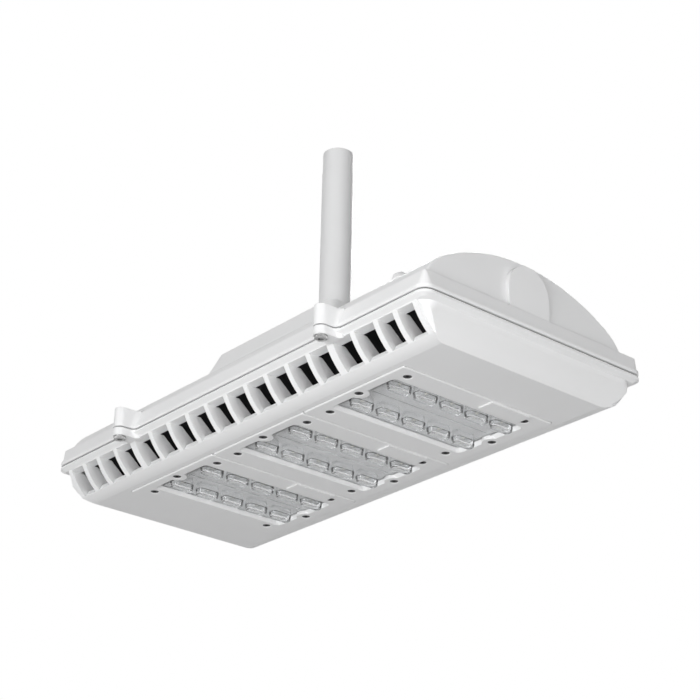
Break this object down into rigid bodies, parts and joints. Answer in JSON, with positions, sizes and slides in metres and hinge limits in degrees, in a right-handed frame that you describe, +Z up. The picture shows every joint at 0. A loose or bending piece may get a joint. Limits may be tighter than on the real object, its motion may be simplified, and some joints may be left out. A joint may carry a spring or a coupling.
{
  "type": "parking garage light",
  "caption": "Parking garage light on a conduit stem: white vaulted housing over a louvred, hinged lower door that holds LED modules and is kept shut by captive screws.",
  "frame": {"origin": "centre of the stem's top end", "axes": "+Z up along the stem, +X along the light's long side, -Y towards the side with the captive screws"},
  "size_m": [0.462, 0.2471, 0.2842],
  "materials": {
    "white_casting": "satin",
    "stem_paint": "satin",
    "zinc_steel": "satin",
    "latch_steel": "satin",
    "dark_screw": "matte",
    "black_rubber": "matte",
    "grey_silicone": "matte",
    "breather_plastic": "matte",
    "tray_paint": "matte",
    "driver_case": "satin",
    "surge_case": "matte",
    "terminal_plastic": "matte",
    "brass_screw": "satin",
    "green_screw": "satin",
    "clear_optic": "gloss",
    "board_metal": "matte",
    "led_phosphor": "satin",
    "black_sink": "matte"
  },
  "bodies": {
    "canopy": {"stem_pipe": "stem_paint", "stem_locknut": "zinc_steel", "stem_seal": "black_rubber", "stem_set_screw": "zinc_steel", "upper_housing": "white_casting", "breather": "breather_plastic", "gear_tray": "tray_paint", "gear_tray_screws": "zinc_steel", "led_driver": "driver_case", "driver_screws": "zinc_steel", "surge_protector": "surge_case", "terminal_block": "terminal_plastic", "terminal_screws": "brass_screw", "ground_screw": "green_screw", "rim_gasket": "black_rubber", "hinge_pins": "zinc_steel"},
    "door": {"lower_housing": "white_casting", "bezel_left": "white_casting", "lens_plate_left": "clear_optic", "led_board_left": "board_metal", "leds_left": "led_phosphor", "module_gasket_left": "grey_silicone", "heat_sink_left": "black_sink", "module_screws_left": "dark_screw", "bezel_middle": "white_casting", "lens_plate_middle": "clear_optic", "led_board_middle": "board_metal", "leds_middle": "led_phosphor", "module_gasket_middle": "grey_silicone", "heat_sink_middle": "black_sink", "module_screws_middle": "dark_screw", "bezel_right": "white_casting", "lens_plate_right": "clear_optic", "led_board_right": "board_metal", "leds_right": "led_phosphor", "module_gasket_right": "grey_silicone", "heat_sink_right": "black_sink", "module_screws_right": "dark_screw"},
    "screw_left": {"captive_screw_left": "latch_steel"},
    "screw_right": {"captive_screw_right": "latch_steel"}
  },
  "joints": [
    {"name": "door_hinge", "type": "hinge", "parent": "canopy", "child": "door", "pos_m": [0, 0.1164, -0.2488], "axis": [1, 0, 0], "range_deg": [0, 90]},
    {"name": "captive_screw_left_slide", "type": "slide", "parent": "door", "child": "screw_left", "axis": [0, 0, -1], "range_m": [0, 0.009]},
    {"name": "captive_screw_right_slide", "type": "slide", "parent": "door", "child": "screw_right", "axis": [0, 0, -1], "range_m": [0, 0.009]}
  ]
}
